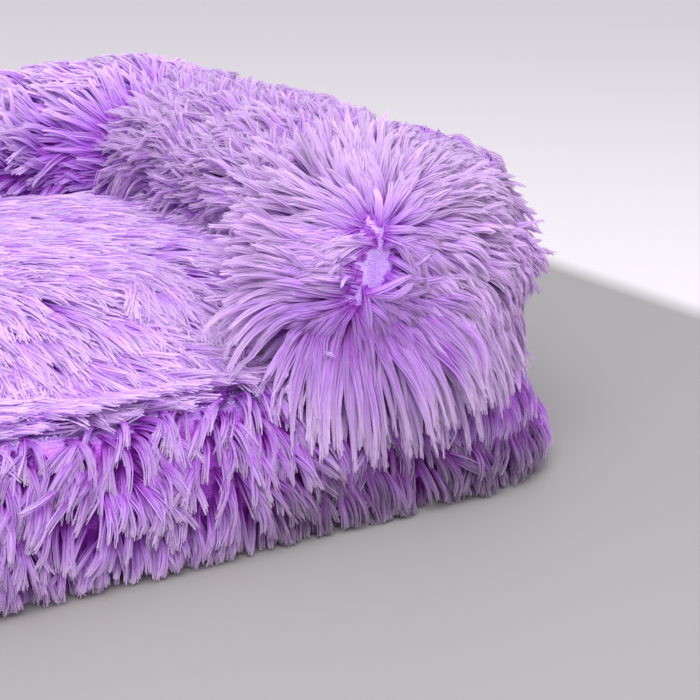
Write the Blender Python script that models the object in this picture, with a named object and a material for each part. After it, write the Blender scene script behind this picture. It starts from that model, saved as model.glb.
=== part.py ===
"""Plush pet bed: a round-cornered mat, a crowned seat and a stuffed bolster on three sides.

Metres, +Z up, front towards -Y, origin at floor level under the middle of the bed.
Every plush solid is the outside of its pile as it lies, so the pile is part of each cover's wall.
"""

import math

import bmesh
import bpy
from mathutils import Matrix, Vector

# Overall plan of the mat
mat_half_width = 0.350
mat_half_depth = 0.310
mat_corner_radius = 0.095
gap = 0.0003

# Bottom cloth with its rubber dots
dot_height = 0.0008
dot_radius = 0.0045
dot_pitch = 0.058
cloth_thickness = 0.0016
cloth_bottom = dot_height
cloth_top = cloth_bottom + cloth_thickness
cloth_lip_height = 0.0052
cloth_lip_thickness = 0.0016
cloth_lip_set_in = 0.0095

# Mat border: pile outside, strip turned in over the top
border_wall = 0.028
border_top = 0.085
border_strip = 0.022
border_hem = 0.001
border_bulge = 0.006
border_shoulder = 0.020

# Seat, whose front seam stands back from the mat's front
front_set_back = 0.048
seat_front = front_set_back - mat_half_depth
seat_corner_radius = 0.050
seat_pile = 0.026
seat_front_height = 0.092
seat_side_height = 0.139
seat_rise_run = 0.120
seat_crown = 0.009
seat_skirt = 0.004
seat_edge_share = 0.35
seat_edge_inset_share = 0.4
seat_ring_shares = (1.0, 0.93, 0.80, 0.62, 0.42, 0.20)

# Bolster: back and two arms share one section
bolster_bottom = border_top + gap
bolster_half_width = 0.086
bolster_top = 0.224
corner_top = 0.233
bolster_wall = 0.026
bolster_sole = 0.004
bolster_set_in = 0.088
arm_centre = mat_half_width - bolster_set_in
back_centre = mat_half_depth - bolster_set_in
corner_bend_radius = 0.115
corner_straight = 0.013
arm_seam = back_centre - corner_bend_radius - corner_straight
seat_half_width = arm_centre - bolster_half_width - gap
seat_back = back_centre - bolster_half_width - gap
seat_middle = (seat_back + seat_front) / 2

# The section is an oval: a lower power share makes it squarer, and its foot is pressed flat
oval_height_share = 1.06
oval_power_share = 0.9
straight_shares = (0.0, 0.5, 1.0)

# Arm ends: the pile flares round the gathered front
arm_front = seat_front
flare_lean = 0.040
flare_centre = arm_centre - flare_lean
flare_half_width = 0.100
flare_top = 0.236
flare_run = 0.130
flare_shares = (0.25, 0.5, 0.75, 0.9, 1.0)

# Gathered cap on the front of an arm: a dome with pleats that wind in to a dimple
cap_depth = 0.046
cap_dimple = 0.016
cap_dimple_radius = 0.030
cap_pleat = 0.0035
cap_back_inset = 0.002
cap_rim_share = 0.5
cap_ring_shares = (1.0, 0.985, 0.93, 0.84, 0.72, 0.58, 0.44, 0.31, 0.19, 0.09)
dome_power_shares = (2.6, 0.62)
pleat_fade_share = 0.8
whorl_twist = math.radians(38)
whorl_shift = 0.039
pleat_count = 13

# Zip between the two bottom panels
zip_centre = 0.120
zip_half_gap = 0.0060
tape_thickness = 0.0006
zip_plane = cloth_top + cloth_lip_height + gap + tape_thickness / 2
tape_width = 0.012
tape_inner_edge = 0.0026
tooth_pitch = 0.007
tooth_thickness = 0.0018
tooth_share = 0.34
tooth_tip_share = 0.8
teeth_spine = 0.0010
zip_end_margin = 0.030
stop_length = 0.0050
stop_wall = 0.0008
stop_lap_share = 0.75

# Slider and pull
slider_length = 0.0110
slider_half_width = 0.0050
flange_thickness = 0.0008
flange_gap = 0.0007
slider_plate = 0.0009
slider_clearance = 0.0004
slider_closed_share = 0.72
slider_mouth_shares = ((0.35, 1.0), (0.85, 0.9), (1.0, 0.55))
flange_reach_share = 0.5
post_length = 0.0030
post_half_width = 0.0009
arch_half_width = 0.0011
arch_half_length = 0.0036
arch_bar = 0.0010
arch_height = 0.0024
pull_length = 0.0230
pull_half_width = 0.0031
pull_thickness = 0.0011
pull_bar_radius = 0.0007
pull_window = 0.0049
pull_clearance = 0.0005
pull_rail_share = 0.8
pull_tip_shares = ((1.0, 1.0), (0.4, 0.8), (0.0, 0.35))

# Groove in the fill for the zip
groove_side_room = 0.0014
groove_top_room = 0.0021
groove_half_width = tape_inner_edge + tape_width + groove_side_room
groove_height = zip_plane + tooth_thickness / 2 + slider_clearance + slider_plate + groove_top_room

# Counts of steps, one overrun for all cuts, and the looks of the materials
around = 36
cap_around = 65
side_steps = 6
corner_steps = 5
bend_steps = 6
back_steps = 4
dot_sides = 8
dot_foot_share = 0.8
bar_sides = 16
overrun = 0.010
sharp_angle = math.radians(50)
plush_look = ((0.58, 0.36, 0.82), 0.85, 0.0)
fill_look = ((0.88, 0.88, 0.86), 0.95, 0.0)
cloth_look = ((0.32, 0.31, 0.34), 0.8, 0.0)
tape_look = ((0.45, 0.28, 0.66), 0.8, 0.0)
plastic_look = ((0.50, 0.32, 0.72), 0.4, 0.0)
metal_look = ((0.72, 0.71, 0.70), 0.3, 1.0)


def clearScene():
    for thing in list(bpy.data.objects):
        bpy.data.objects.remove(thing, do_unlink=True)


def makeMaterial(name, look):
    colour, roughness, metallic = look
    material = bpy.data.materials.new(name)
    material.use_nodes = True
    shader = material.node_tree.nodes["Principled BSDF"]
    shader.inputs["Base Color"].default_value = (*colour, 1.0)
    shader.inputs["Roughness"].default_value = roughness
    shader.inputs["Metallic"].default_value = metallic
    return material


def addObject(name, mesh, material, smooth=True):
    mesh.materials.append(material)
    thing = bpy.data.objects.new(name, mesh)
    bpy.context.scene.collection.objects.link(thing)
    if smooth:
        mesh.shade_smooth()
        mesh.set_sharp_from_angle(angle=sharp_angle)
    return thing


def meshFromBmesh(name, shape):
    bmesh.ops.recalc_face_normals(shape, faces=shape.faces)
    mesh = bpy.data.meshes.new(name)
    shape.to_mesh(mesh)
    shape.free()
    return mesh


def addTool(thing, name, mesh, operation):
    """Joins or cuts thing with a helper that stays out of the render."""
    tool = bpy.data.objects.new(name, mesh)
    bpy.context.scene.collection.objects.link(tool)
    tool.hide_render = True
    tool.display_type = "WIRE"
    step = thing.modifiers.new(name, "BOOLEAN")
    step.operation = operation
    step.solver = "EXACT"
    step.object = tool
    return tool


def boxMesh(name, low, high):
    shape = bmesh.new()
    bmesh.ops.create_cube(shape, size=1.0)
    size = Matrix.Diagonal((*(high[i] - low[i] for i in range(3)), 1.0))
    bmesh.ops.transform(shape, matrix=size, verts=shape.verts)
    middle = [(high[i] + low[i]) / 2 for i in range(3)]
    bmesh.ops.translate(shape, verts=shape.verts, vec=middle)
    return meshFromBmesh(name, shape)


def pushedOut(name, corners, way):
    """Pushes a flat outline out along way into a solid."""
    shape = bmesh.new()
    face = shape.faces.new([shape.verts.new(corner) for corner in corners])
    solid = bmesh.ops.extrude_face_region(shape, geom=[face])
    moved = [item for item in solid["geom"] if isinstance(item, bmesh.types.BMVert)]
    bmesh.ops.translate(shape, verts=moved, vec=way)
    return meshFromBmesh(name, shape)


def prismMesh(name, outline, low, high):
    """Raises a level outline from low to high."""
    return pushedOut(name, [(x, y, low) for x, y in outline], (0, 0, high - low))


def loft(name, rings, closed_along=False, cap_first=None, cap_last=None):
    """Skins a list of point rings. Caps are None, "flat" or a centre point."""
    shape = bmesh.new()
    rows = [[shape.verts.new(point) for point in ring] for ring in rings]
    count = len(rows[0])
    pairs = list(zip(rows, rows[1:]))
    if closed_along:
        pairs.append((rows[-1], rows[0]))
    for lower, upper in pairs:
        for i in range(count):
            j = (i + 1) % count
            shape.faces.new((lower[i], lower[j], upper[j], upper[i]))
    for row, cap in ((rows[0], cap_first), (rows[-1], cap_last)):
        if cap is None:
            continue
        if isinstance(cap, str):
            shape.faces.new(row)
            continue
        middle = shape.verts.new(cap)
        for i in range(count):
            shape.faces.new((row[i], row[(i + 1) % count], middle))
    return meshFromBmesh(name, shape)


def roundedRectangle(half_x, half_y, radius, centre_y=0.0):
    """Points of a rounded rectangle, with the same count for every size."""
    radius = min(radius, half_x, half_y)
    points = []
    corners = ((1, 1, 0), (-1, 1, 90), (-1, -1, 180), (1, -1, 270))
    for index, (sign_x, sign_y, start) in enumerate(corners):
        middle = Vector((sign_x * (half_x - radius), sign_y * (half_y - radius)))
        arc = []
        for step in range(corner_steps + 1):
            angle = math.radians(start + 90 * step / corner_steps)
            arc.append(middle + radius * Vector((math.cos(angle), math.sin(angle))))
        points.extend(arc)
        next_x, next_y, next_start = corners[(index + 1) % 4]
        next_middle = Vector((next_x * (half_x - radius), next_y * (half_y - radius)))
        angle = math.radians(next_start)
        next_point = next_middle + radius * Vector((math.cos(angle), math.sin(angle)))
        for step in range(1, side_steps):
            points.append(arc[-1].lerp(next_point, step / side_steps))
    return [Vector((point.x, point.y + centre_y)) for point in points]


def atHeight(points, height):
    return [Vector((point.x, point.y, height)) for point in points]


def matOutline(inset):
    return roundedRectangle(
        mat_half_width - inset, mat_half_depth - inset, mat_corner_radius - inset
    )


def seatOutline(inset):
    """Rounded rectangle between the arms, drawn in at the front where the arms flare."""
    half_depth = (seat_back - seat_front) / 2
    points = roundedRectangle(
        seat_half_width - inset, half_depth - inset, seat_corner_radius - inset, seat_middle
    )
    return [Vector((point.x * seatNarrowing(point.y), point.y)) for point in points]


def flareGrowth(y):
    """How far the flare of an arm has grown at this distance towards the front, from 0 to 1."""
    return smooth((arm_front + flare_run - y) / flare_run)


def seatNarrowing(y):
    """Width of the seat at y as a share of its width at the back."""
    drawn_in = (arm_centre - flare_centre) + (flare_half_width - bolster_half_width)
    return 1 - drawn_in * flareGrowth(y) / seat_half_width


def smooth(share):
    share = min(max(share, 0.0), 1.0)
    return share * share * (3 - 2 * share)


def seatSurface(point, share_out):
    """Height of the pile over the seat: low at the front seam, higher by the bolster, crowned."""
    rise = smooth((point.y - seat_front) / seat_rise_run)
    edge = seat_front_height + (seat_side_height - seat_front_height) * rise
    return edge + seat_crown * (1 - share_out**2)


def seatRing(share_out, inset, drop):
    """One ring of the seat at a share of its size, lowered by drop."""
    ring = []
    for point in seatOutline(inset):
        x = point.x * share_out
        y = seat_middle + (point.y - seat_middle) * share_out
        spot = Vector((x, y))
        ring.append(Vector((x, y, seatSurface(spot, share_out) - drop)))
    return ring


def seatMiddle(drop):
    middle = Vector((0.0, seat_middle))
    return Vector((middle.x, middle.y, seatSurface(middle, 0.0) - drop))


def buildSeatCover(material):
    shelf = border_top - border_strip + gap
    rings = [atHeight(seatOutline(seat_skirt), shelf), atHeight(seatOutline(0.0), shelf)]
    edge_round = seat_pile * seat_edge_share
    edge_inset = edge_round * seat_edge_inset_share
    rings.append([point - Vector((0, 0, edge_round)) for point in seatRing(1.0, 0.0, 0.0)])
    rings += [seatRing(share, edge_inset, 0.0) for share in seat_ring_shares]
    top = loft("seat_top", rings, cap_last=seatMiddle(0.0))
    under = [atHeight(seatOutline(seat_skirt), shelf)]
    under += [seatRing(share, seat_skirt, seat_pile) for share in seat_ring_shares]
    bottom = loft("seat_under", under, cap_last=seatMiddle(seat_pile))
    shape = bmesh.new()
    shape.from_mesh(top)
    shape.from_mesh(bottom)
    bmesh.ops.remove_doubles(shape, verts=shape.verts, dist=gap / 10)
    mesh = meshFromBmesh("seat_cover", shape)
    return addObject("seat_cover", mesh, material)


def addGroove(thing):
    """Cuts the channel for the zip across the underside of the fill."""
    reach = mat_half_width + overrun
    low = (-reach, zip_centre - groove_half_width, -overrun)
    high = (reach, zip_centre + groove_half_width, groove_height)
    addTool(thing, "zip_groove", boxMesh("zip_groove", low, high), "DIFFERENCE")


def buildMatFill(material):
    bottom = cloth_top + gap
    shelf = border_top - border_strip - gap
    wall = border_wall + gap
    soft_edge = border_bulge
    raised = seat_skirt + gap
    rings = [
        atHeight(matOutline(wall + soft_edge), bottom),
        atHeight(matOutline(wall), bottom + soft_edge),
        atHeight(matOutline(wall), shelf - soft_edge),
        atHeight(matOutline(wall + soft_edge), shelf),
        atHeight(seatOutline(raised), shelf),
    ]
    drop = seat_pile + gap
    rings += [seatRing(share, raised, drop) for share in seat_ring_shares]
    mesh = loft("mat_fill", rings, cap_first="flat", cap_last=seatMiddle(drop))
    thing = addObject("mat_fill", mesh, material)
    addGroove(thing)
    return thing


def buildMatBorder(material):
    under_strip = border_top - border_strip
    rings = [
        atHeight(matOutline(border_bulge), border_hem),
        atHeight(matOutline(0.0), border_hem + border_shoulder),
        atHeight(matOutline(0.0), border_top - 2 * border_shoulder),
        atHeight(matOutline(border_bulge), border_top - border_shoulder),
        atHeight(matOutline(border_shoulder), border_top),
        atHeight(seatOutline(-gap), border_top),
        atHeight(seatOutline(-gap), under_strip),
        atHeight(matOutline(border_wall), under_strip),
        atHeight(matOutline(border_wall), border_hem),
    ]
    mesh = loft("mat_border_cover", rings, closed_along=True)
    return addObject("mat_border_cover", mesh, material)


def bolsterSection(inset, half_width, top, sole, count=around):
    """Offsets and heights of a bolster section: a soft oval, pressed flat where it rests."""
    bottom = bolster_bottom + sole
    half_height = (top - inset - bottom) / 2 * oval_height_share
    centre = top - inset - half_height
    points = []
    for index in range(count):
        angle = 2 * math.pi * index / count
        across = math.copysign(abs(math.cos(angle)) ** oval_power_share, math.cos(angle))
        up = math.copysign(abs(math.sin(angle)) ** oval_power_share, math.sin(angle))
        height = max(centre + half_height * up, bottom)
        points.append(((half_width - inset) * across, height))
    return points


def ringAcross(section, centre, normal):
    """Stands a section up at centre, with its offsets along the level direction normal."""
    return [
        Vector((centre.x + normal.x * offset, centre.y + normal.y * offset, height))
        for offset, height in section
    ]


def armStations():
    """Places along an arm from the seam to its front: y, centre, half width, top."""
    stations = []
    flare_start = arm_front + flare_run
    for share in straight_shares:
        y = arm_seam - gap / 2 + (flare_start - arm_seam) * share
        stations.append((y, arm_centre, bolster_half_width, bolster_top))
    for share in flare_shares:
        y = flare_start - flare_run * share
        grown = flareGrowth(y)
        centre = arm_centre + (flare_centre - arm_centre) * grown
        half_width = bolster_half_width + (flare_half_width - bolster_half_width) * grown
        top = bolster_top + (flare_top - bolster_top) * grown
        stations.append((y, centre, half_width, top))
    return stations


def armRings(side, inset, sole, flares):
    """Rings of one arm. The stuffing inside keeps its size, and only the pile flares."""
    normal = Vector((side, 0))
    rings = []
    for y, centre, half_width, top in armStations():
        if not flares:
            half_width = bolster_half_width
            top = bolster_top
        section = bolsterSection(inset, half_width, top, sole)
        rings.append(ringAcross(section, Vector((side * centre, y)), normal))
    return rings


def buildArm(name, side, cover_material, fill_material):
    outer = armRings(side, 0.0, 0.0, True)
    inner = armRings(side, bolster_wall, bolster_sole, False)
    mesh = loft(name + "_cover", outer + inner[::-1], closed_along=True)
    addObject(name + "_cover", mesh, cover_material)
    fill = armRings(side, bolster_wall + gap, bolster_sole + gap, False)
    mesh = loft(name + "_fill", fill, cap_first="flat", cap_last="flat")
    addObject(name + "_fill", mesh, fill_material)


def capDepth(share_out):
    """How far the pile stands forward of the cap's back, at a share of its radius."""
    shoulder, rim = dome_power_shares
    dome = cap_depth * (1 - share_out**shoulder) ** rim
    reach = share_out * flare_half_width / cap_dimple_radius
    return dome - cap_dimple * math.exp(-(reach**2))


def buildEndCap(name, side, material):
    """Gathered front of an arm: pleats wind in to a whorl at the middle."""
    section = bolsterSection(cap_back_inset, flare_half_width, flare_top, 0.0, cap_around)
    middle_height = (flare_top + bolster_bottom) / 2
    plane = arm_front - gap
    rings = []
    for share_out in cap_ring_shares:
        twist = whorl_twist * (1 - share_out) * side
        fade = math.sin(math.pi * share_out) ** pleat_fade_share if share_out < 1 else 0.0
        centre = flare_centre - whorl_shift * (1 - share_out)
        ring = []
        for index, (offset, height) in enumerate(section):
            angle = 2 * math.pi * index / cap_around
            ripple = math.cos(pleat_count * (angle + twist))
            forward = capDepth(share_out) + cap_pleat * ripple * fade
            rise = height - middle_height
            ring.append(
                Vector(
                    (
                        side * (centre + offset * share_out),
                        plane - forward,
                        middle_height + rise * share_out,
                    )
                )
            )
        rings.append(ring)
    back = [Vector((point.x, plane, point.z)) for point in rings[0]]
    rim = plane - capDepth(cap_ring_shares[1]) * cap_rim_share
    rings[0] = [Vector((point.x, rim, point.z)) for point in rings[0]]
    whorl = side * (flare_centre - whorl_shift)
    middle = Vector((whorl, plane - capDepth(0.0), middle_height))
    mesh = loft(name, [back] + rings, cap_first="flat", cap_last=middle)
    return addObject(name, mesh, material)


def backPath():
    """Level path of the back bolster's middle from the right seam to the left, with normals."""
    bend_y = back_centre - corner_bend_radius
    bend_x = arm_centre - corner_bend_radius
    path = [(Vector((arm_centre, arm_seam + gap / 2)), Vector((1, 0)))]
    for step in range(bend_steps + 1):
        angle = math.radians(90 * step / bend_steps)
        out = Vector((math.cos(angle), math.sin(angle)))
        path.append((Vector((bend_x, bend_y)) + corner_bend_radius * out, out))
    for step in range(1, back_steps):
        x = bend_x - 2 * bend_x * step / back_steps
        path.append((Vector((x, back_centre)), Vector((0, 1))))
    for spot, out in path[bend_steps + 1 :: -1]:
        path.append((Vector((-spot.x, spot.y)), Vector((-out.x, out.y))))
    return path


def backRings(inset, sole):
    rings = []
    for spot, out in backPath():
        cornering = 4 * (out.x * out.y) ** 2
        top = bolster_top + (corner_top - bolster_top) * cornering
        section = bolsterSection(inset, bolster_half_width, top, sole)
        rings.append(ringAcross(section, spot, out))
    return rings


def buildBack(cover_material, fill_material):
    outer = backRings(0.0, 0.0)
    inner = backRings(bolster_wall, bolster_sole)
    mesh = loft("back_bolster_cover", outer + inner[::-1], closed_along=True)
    addObject("back_bolster_cover", mesh, cover_material)
    fill = backRings(bolster_wall + gap, bolster_sole + gap)
    mesh = loft("back_bolster_fill", fill, cap_first="flat", cap_last="flat")
    addObject("back_bolster_fill", mesh, fill_material)


def clothOutline(front):
    """Half of the cloth's rounded outline, ending at the zip's gap."""
    edge = zip_centre + (-zip_half_gap if front else zip_half_gap)
    half_width = mat_half_width - border_wall - gap
    half_depth = mat_half_depth - border_wall - gap
    points = roundedRectangle(half_width, half_depth, mat_corner_radius - border_wall)
    kept = [p for p in points if (p.y < edge if front else p.y > edge)]
    # starts where the outline jumps across the bed, along the zip
    start = next(i for i, p in enumerate(kept) if (kept[i - 1] - p).length > half_width)
    kept = kept[start:] + kept[:start]
    ends = [Vector((-half_width, edge)), Vector((half_width, edge))]
    if not front:
        ends.reverse()
    return [ends[0]] + kept + [ends[1]]


def buildCloth(name, front, material):
    """A panel of bottom cloth: turned up along the zip, with rubber dots beneath."""
    mesh = prismMesh(name, clothOutline(front), cloth_bottom, cloth_top)
    thing = addObject(name, mesh, material, smooth=False)
    away = -1 if front else 1
    lip_half = mat_half_width - border_wall - gap - cloth_lip_set_in
    near = zip_centre + away * zip_half_gap
    far = near + away * cloth_lip_thickness
    low = (-lip_half, min(near, far), cloth_top - cloth_thickness / 2)
    high = (lip_half, max(near, far), cloth_top + cloth_lip_height)
    addTool(thing, name + "_lip", boxMesh(name + "_lip", low, high), "UNION")
    addTool(thing, name + "_dots", dotsMesh(name + "_dots", front), "UNION")
    return thing


def dotPlaces(front):
    """Centres of the rubber dots on one panel, in a square grid through the bed's middle."""
    reach_x = mat_half_width - border_wall - 3 * dot_radius
    reach_y = mat_half_depth - border_wall - 3 * dot_radius
    corner = mat_corner_radius - border_wall
    columns = int(reach_x // dot_pitch)
    rows = int(reach_y // dot_pitch)
    places = []
    for row in range(-rows, rows + 1):
        for column in range(-columns, columns + 1):
            x = column * dot_pitch
            y = row * dot_pitch
            over_x = abs(x) - (reach_x - corner)
            over_y = abs(y) - (reach_y - corner)
            if over_x > 0 and over_y > 0 and math.hypot(over_x, over_y) > corner:
                continue
            edge = zip_half_gap + cloth_lip_thickness + 2 * dot_radius
            if front and y < zip_centre - edge:
                places.append((x, y))
            if not front and y > zip_centre + edge:
                places.append((x, y))
    return places


def dotsMesh(name, front):
    shape = bmesh.new()
    depth = dot_height + cloth_thickness / 2
    for x, y in dotPlaces(front):
        bmesh.ops.create_cone(
            shape,
            cap_ends=True,
            segments=dot_sides,
            radius1=dot_radius * dot_foot_share,
            radius2=dot_radius,
            depth=depth,
            matrix=Matrix.Translation((x, y, depth / 2)),
        )
    return meshFromBmesh(name, shape)


zip_end = mat_half_width - border_wall - zip_end_margin
slider_middle = zip_end - stop_length - slider_length
teeth_start = -(zip_end - stop_length)
teeth_end = slider_middle - post_length / 2


def buildTape(name, front, material):
    """One side's tape, lying on the turned-up edge of its panel."""
    away = -1 if front else 1
    inner = zip_centre + away * tape_inner_edge
    outer = zip_centre + away * (tape_inner_edge + tape_width)
    low = (-zip_end, min(inner, outer), zip_plane - tape_thickness / 2)
    high = (zip_end, max(inner, outer), zip_plane + tape_thickness / 2)
    return addObject(name, boxMesh(name, low, high), material, smooth=False)


def buildTeeth(name, front, material):
    """A row of teeth on one spine, set half a pitch off the other row."""
    away = -1 if front else 1
    root = zip_centre + away * (tape_inner_edge - gap)
    spine = root - away * teeth_spine
    tip = -away * (tape_inner_edge - 2 * gap - teeth_spine) + zip_centre
    count = int((teeth_end - teeth_start) // tooth_pitch) - 1
    shift = 0.0 if front else tooth_pitch / 2
    half_tooth = tooth_pitch * tooth_share / 2
    outline = [(teeth_start, root)]
    for index in range(count):
        x = teeth_start + (index + 0.5) * tooth_pitch + shift
        outline.append((x - half_tooth, spine))
        outline.append((x - half_tooth * tooth_tip_share, tip))
        outline.append((x + half_tooth * tooth_tip_share, tip))
        outline.append((x + half_tooth, spine))
    outline.insert(1, (teeth_start, spine))
    outline.append((teeth_end, spine))
    outline.append((teeth_end, root))
    low = zip_plane - tooth_thickness / 2
    mesh = prismMesh(name, outline, low, low + tooth_thickness)
    return addObject(name, mesh, material, smooth=False)


def buildBottomStop(material):
    """A metal clip round both tapes at the end where the zip starts."""
    reach = tape_inner_edge + 2 * stop_wall
    start = -zip_end + stop_wall
    end = -zip_end + stop_length - stop_wall
    half = tape_thickness / 2 + gap
    profile = [
        (-reach, -half - stop_wall),
        (reach, -half - stop_wall),
        (reach, -half),
        (post_half_width, -half),
        (post_half_width, half),
        (reach, half),
        (reach, half + stop_wall),
        (-reach, half + stop_wall),
        (-reach, half),
        (-post_half_width, half),
        (-post_half_width, -half),
        (-reach, -half),
    ]
    return clip("zip_bottom_stop", profile, start, end, material)


def buildTopStop(name, front, material):
    """A metal clip round the inner edge of one tape, where the slider stops."""
    away = -1 if front else 1
    half = tape_thickness / 2 + gap
    near = away * (tape_inner_edge - gap - stop_wall * stop_lap_share)
    edge = away * (tape_inner_edge - gap)
    far = away * (tape_inner_edge + 2 * stop_wall)
    profile = [
        (near, -half - stop_wall),
        (far, -half - stop_wall),
        (far, -half),
        (edge, -half),
        (edge, half),
        (far, half),
        (far, half + stop_wall),
        (near, half + stop_wall),
    ]
    start = zip_end - stop_length + stop_wall
    return clip(name, profile, start, zip_end - stop_wall, material)


def clip(name, profile, start, end, material):
    """Runs a profile of (across, up) from start to end along the zip."""
    corners = [(start, zip_centre + y, zip_plane + z) for y, z in profile]
    mesh = pushedOut(name, corners, (end - start, 0, 0))
    return addObject(name, mesh, material, smooth=False)


slider_inner = tooth_thickness / 2 + slider_clearance
slider_low = zip_plane - slider_inner - slider_plate
pull_axis_height = slider_low - arch_height / 2


def sliderOutline():
    """Level outline of a slider plate: wide shoulders at the mouth, narrow at the closed end."""
    half_edge = [(-1.0, slider_closed_share), *slider_mouth_shares]
    shares = half_edge + [(along, -across) for along, across in reversed(half_edge)]
    return [
        (slider_middle + along * slider_length / 2, zip_centre + across * slider_half_width)
        for along, across in shares
    ]


def buildSlider(material):
    """Slider: two plates joined by the wedge post, with an arch below that holds the pull."""
    outline = sliderOutline()
    mesh = prismMesh("zip_slider", outline, slider_low, slider_low + slider_plate)
    thing = addObject("zip_slider", mesh, material, smooth=False)
    top = zip_plane + slider_inner
    mesh = prismMesh("slider_top_plate", outline, top, top + slider_plate)
    addTool(thing, "slider_top_plate", mesh, "UNION")
    half = slider_length / 2
    post_end = slider_middle + half - slider_plate
    middle_plate = slider_plate / 2
    low = (post_end - post_length, zip_centre - post_half_width, slider_low + middle_plate)
    high = (post_end, zip_centre + post_half_width, top + middle_plate)
    addTool(thing, "slider_post", boxMesh("slider_post", low, high), "UNION")
    for side in (-1, 1):
        edge = slider_half_width * slider_closed_share
        low_y = zip_centre + min(side * edge, side * (edge - flange_thickness))
        high_y = zip_centre + max(side * edge, side * (edge - flange_thickness))
        for word, low, high in (
            ("low", slider_low + middle_plate, zip_plane - flange_gap),
            ("high", zip_plane + flange_gap, top + middle_plate),
        ):
            corner = (slider_middle - half + middle_plate, low_y, low)
            far_corner = (slider_middle + half * flange_reach_share, high_y, high)
            name = f"slider_flange_{word}_{'rear' if side > 0 else 'front'}"
            addTool(thing, name, boxMesh(name, corner, far_corner), "UNION")
    inner_length = arch_half_length - arch_bar
    profile = [
        (-arch_half_length, middle_plate),
        (-arch_half_length, -arch_height),
        (-inner_length, -arch_height - arch_bar),
        (inner_length, -arch_height - arch_bar),
        (arch_half_length, -arch_height),
        (arch_half_length, middle_plate),
        (inner_length, middle_plate),
        (inner_length, -arch_height),
        (-inner_length, -arch_height),
        (-inner_length, middle_plate),
    ]
    near_y = zip_centre - arch_half_width
    corners = [(slider_middle + x, near_y, slider_low + z) for x, z in profile]
    arch = pushedOut("slider_arch", corners, (0, 2 * arch_half_width, 0))
    addTool(thing, "slider_arch", arch, "UNION")
    return thing


def buildPull(material):
    """Pull tab whose round end bar turns in the slider's arch. Origin on the swing axis."""
    half = pull_thickness / 2
    rail = pull_half_width * pull_rail_share
    edge = [(0.0, rail), (-2 * pull_bar_radius, pull_half_width)]
    for back_share, across_share in pull_tip_shares:
        x = -pull_length + pull_half_width * back_share
        edge.append((x, pull_half_width * across_share))
    outline = edge + [(x, -y) for x, y in reversed(edge)]
    mesh = prismMesh("zip_pull", outline, -half, half)
    thing = addObject("zip_pull", mesh, material, smooth=False)
    window_half = arch_half_width + pull_clearance
    low = (-pull_bar_radius - pull_window, -window_half, -overrun)
    high = (overrun, window_half, overrun)
    window = addTool(thing, "pull_window", boxMesh("pull_window", low, high), "DIFFERENCE")
    bar = addTool(thing, "pull_bar", barMesh("pull_bar", rail), "UNION")
    for item in (thing, window, bar):
        item.location = (slider_middle, zip_centre, pull_axis_height)
    return thing


def barMesh(name, half_length):
    """The pull's round end bar, along the swing axis."""
    shape = bmesh.new()
    turn = Matrix.Rotation(math.radians(90), 4, "X")
    bmesh.ops.create_cone(
        shape,
        cap_ends=True,
        segments=bar_sides,
        radius1=pull_bar_radius,
        radius2=pull_bar_radius,
        depth=2 * half_length + gap,
        matrix=turn,
    )
    return meshFromBmesh(name, shape)


def build():
    clearScene()
    plush = makeMaterial("lavender_plush", plush_look)
    fill = makeMaterial("white_fibre_fill", fill_look)
    cloth = makeMaterial("grey_bottom_cloth", cloth_look)
    tape = makeMaterial("lavender_zip_tape", tape_look)
    plastic = makeMaterial("lavender_zip_plastic", plastic_look)
    metal = makeMaterial("zip_metal", metal_look)
    buildCloth("bottom_cloth_front", True, cloth)
    buildCloth("bottom_cloth_rear", False, cloth)
    buildMatBorder(plush)
    buildMatFill(fill)
    buildSeatCover(plush)
    buildBack(plush, fill)
    for name, side in (("right_arm", 1), ("left_arm", -1)):
        buildArm(name, side, plush, fill)
        buildEndCap(name + "_end_cap", side, plush)
    for word, front in (("front", True), ("rear", False)):
        buildTape("zip_tape_" + word, front, tape)
        buildTeeth("zip_teeth_" + word, front, plastic)
        buildTopStop("zip_top_stop_" + word, front, metal)
    buildBottomStop(metal)
    buildSlider(metal)
    buildPull(metal)


build()
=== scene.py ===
import math

import bpy
import numpy as np
from mathutils import Euler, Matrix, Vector
from mathutils.bvhtree import BVHTree


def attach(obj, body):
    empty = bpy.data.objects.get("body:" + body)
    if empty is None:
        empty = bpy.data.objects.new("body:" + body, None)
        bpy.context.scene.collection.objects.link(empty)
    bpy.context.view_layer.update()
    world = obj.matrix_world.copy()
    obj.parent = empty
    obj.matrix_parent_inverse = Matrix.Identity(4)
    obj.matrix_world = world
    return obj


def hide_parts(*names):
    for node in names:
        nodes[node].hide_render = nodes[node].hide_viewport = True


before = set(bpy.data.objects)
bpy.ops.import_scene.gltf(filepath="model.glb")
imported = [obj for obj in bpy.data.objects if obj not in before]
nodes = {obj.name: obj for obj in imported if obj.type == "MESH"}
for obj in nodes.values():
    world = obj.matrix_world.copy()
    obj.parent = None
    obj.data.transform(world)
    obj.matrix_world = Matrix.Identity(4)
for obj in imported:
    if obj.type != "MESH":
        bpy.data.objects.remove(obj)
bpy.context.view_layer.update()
print("stage: frame loaded")


def linear(red, green, blue):
    # a colour as seen, turned to linear values for the shaders
    def one(value):
        value = value / 255
        return value / 12.92 if value <= 0.04045 else ((value + 0.055) / 1.055) ** 2.4
    return (one(red), one(green), one(blue), 1.0)


def unit(vectors):
    return vectors / np.maximum(np.linalg.norm(vectors, axis=-1, keepdims=True), 1e-9)


def rising(value, start, run):
    # 0 up to start, 1 from start + run on, smooth between; settings hold both as a pair
    value = np.clip((value - start) / run, 0, 1)
    return value * value * (3 - 2 * value)


def falling(value, start, run):
    # 1 down to start - run, 0 from start on
    return rising(-value, -start, run)


# node groups and materials


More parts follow.
